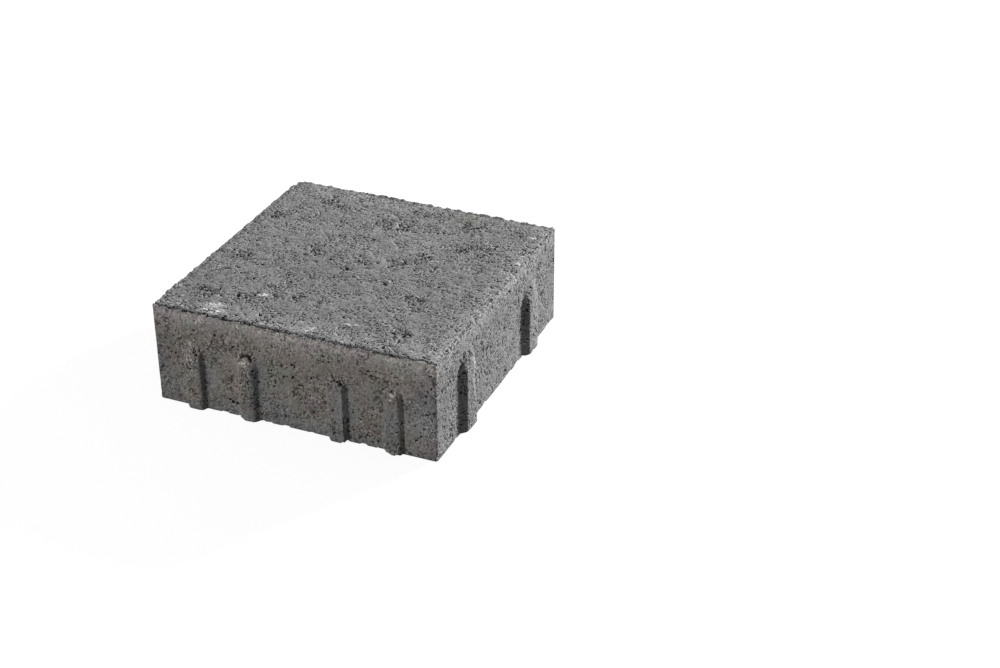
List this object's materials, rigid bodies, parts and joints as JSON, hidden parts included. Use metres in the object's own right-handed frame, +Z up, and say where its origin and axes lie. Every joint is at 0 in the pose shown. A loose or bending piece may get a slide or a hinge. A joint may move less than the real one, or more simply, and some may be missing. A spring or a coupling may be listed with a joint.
{
  "type": "concrete paving stone",
  "caption": "Square paving stone of pressed concrete with a flat wearing face and cast spacer ribs on all sides that keep an even joint and nest with the next stone.",
  "frame": {"origin": "middle of the bed face, on the floor that the stone lies on", "axes": "+Z up out of the wearing face; +X and +Y out of the sides with single ribs; -X and -Y out of the sides with ribs in pairs"},
  "size_m": [0.208, 0.208, 0.07],
  "materials": {
    "concrete": "matt, open-textured pressed concrete, mid grey, with fine sand grain and scattered small pores"
  },
  "bodies": {
    "root": {"paving_stone": "concrete"}
  },
  "joints": []
}
